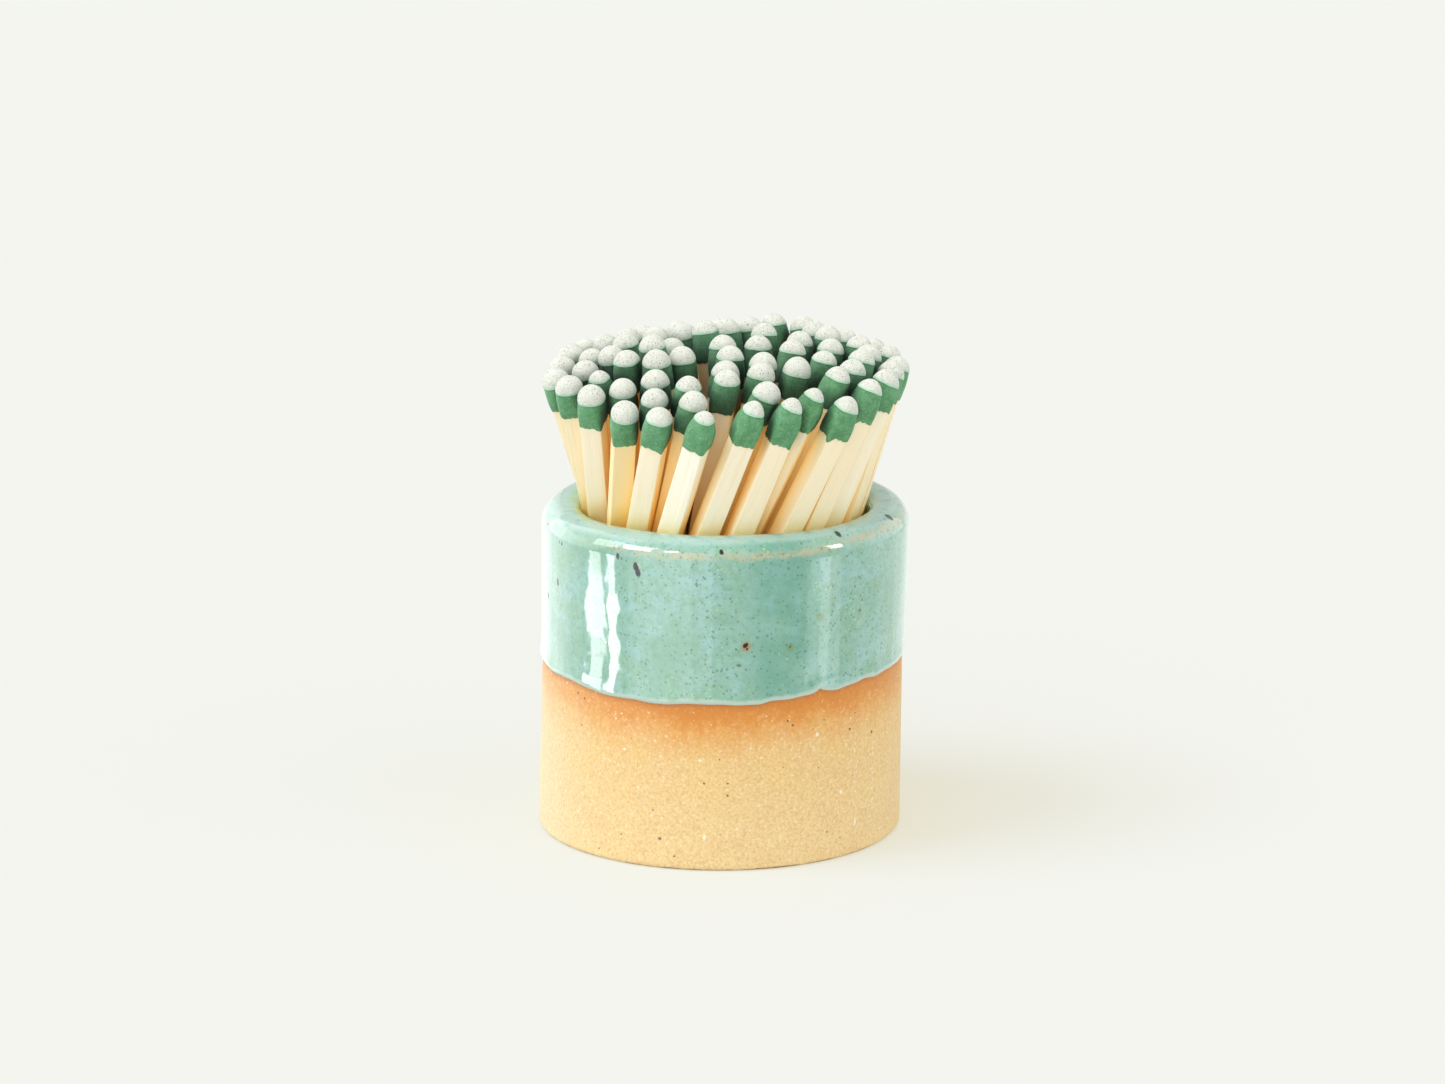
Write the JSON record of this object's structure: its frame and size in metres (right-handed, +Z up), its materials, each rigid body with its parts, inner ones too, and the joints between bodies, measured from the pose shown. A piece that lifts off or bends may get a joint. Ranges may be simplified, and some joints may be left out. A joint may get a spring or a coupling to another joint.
{
  "type": "match striker",
  "caption": "Small round stoneware match striker pot, glazed above and bare and gritty below, holding a fanned bundle of wooden matches with pale tips on green heads.",
  "frame": {"origin": "centre of the pot's flat foot, on the surface it stands on", "axes": "+Z up along the pot's axis, the side seen in the reference picture faces -Y, +X to its right"},
  "size_m": [0.0395, 0.039, 0.0541],
  "materials": {
    "stoneware": "gloss",
    "splint_wood": "matte",
    "bulb_green": "matte",
    "tip_pale": "matte"
  },
  "bodies": {
    "root": {"striker_pot": "stoneware", "front_splints": "splint_wood", "front_bulbs": "bulb_green", "front_tips": "tip_pale", "front_left_splints": "splint_wood", "front_left_bulbs": "bulb_green", "front_left_tips": "tip_pale", "front_right_splints": "splint_wood", "front_right_bulbs": "bulb_green", "front_right_tips": "tip_pale", "left_splints": "splint_wood", "left_bulbs": "bulb_green", "left_tips": "tip_pale", "right_splints": "splint_wood", "right_bulbs": "bulb_green", "right_tips": "tip_pale", "mid_front_splints": "splint_wood", "mid_front_bulbs": "bulb_green", "mid_front_tips": "tip_pale", "mid_back_splints": "splint_wood", "mid_back_bulbs": "bulb_green", "mid_back_tips": "tip_pale", "back_left_splints": "splint_wood", "back_left_bulbs": "bulb_green", "back_left_tips": "tip_pale", "back_right_splints": "splint_wood", "back_right_bulbs": "bulb_green", "back_right_tips": "tip_pale", "back_splints": "splint_wood", "back_bulbs": "bulb_green", "back_tips": "tip_pale"}
  },
  "joints": []
}
